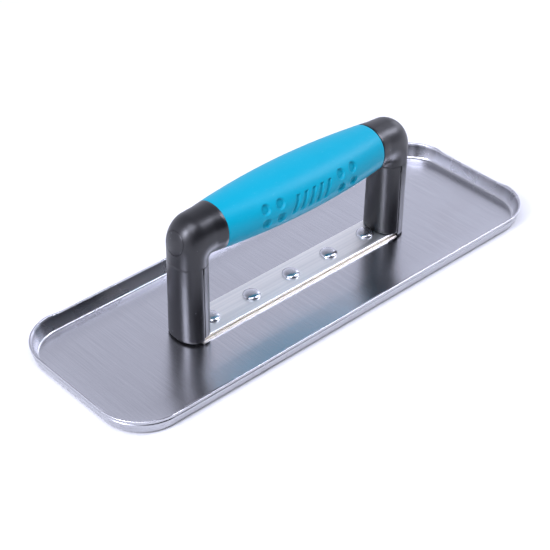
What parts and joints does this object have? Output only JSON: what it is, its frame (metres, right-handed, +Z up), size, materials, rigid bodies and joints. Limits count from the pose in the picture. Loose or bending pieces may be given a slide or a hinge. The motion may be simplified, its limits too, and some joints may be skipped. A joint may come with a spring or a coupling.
{
  "type": "hand float",
  "caption": "Rectangular steel float with a turned-up rim and round corners, and a closed soft-grip handle on a riveted bar, for smoothing mortar, render or concrete.",
  "frame": {"origin": "middle of the pan's underside, on the surface it rests on", "axes": "+X along the pan and the handle, +Y across the pan, +Z up from the blade to the handle"},
  "size_m": [0.29, 0.0994, 0.0752],
  "materials": {
    "stainless": "brushed across the blade, with light wear along the outside bend",
    "aluminium": "extruded, with fine lines along its length",
    "rivet_steel": "polished",
    "black_plastic": "satin, finely textured",
    "blue_rubber": "soft satin, moulded with shallow dimples",
    "plain_steel": "zinc plated"
  },
  "bodies": {
    "root": {"pan": "stainless", "mounting_bar": "aluminium", "blade_rivets": "rivet_steel", "handle_frame": "black_plastic", "post_cover_left": "black_plastic", "post_cover_right": "black_plastic", "grip_sleeve": "blue_rubber", "end_plugs": "black_plastic", "tang_left": "plain_steel", "tang_right": "plain_steel", "tang_rivets": "rivet_steel", "tie_rod": "plain_steel", "tie_rod_washers": "plain_steel", "tie_rod_nuts": "plain_steel"}
  },
  "joints": []
}
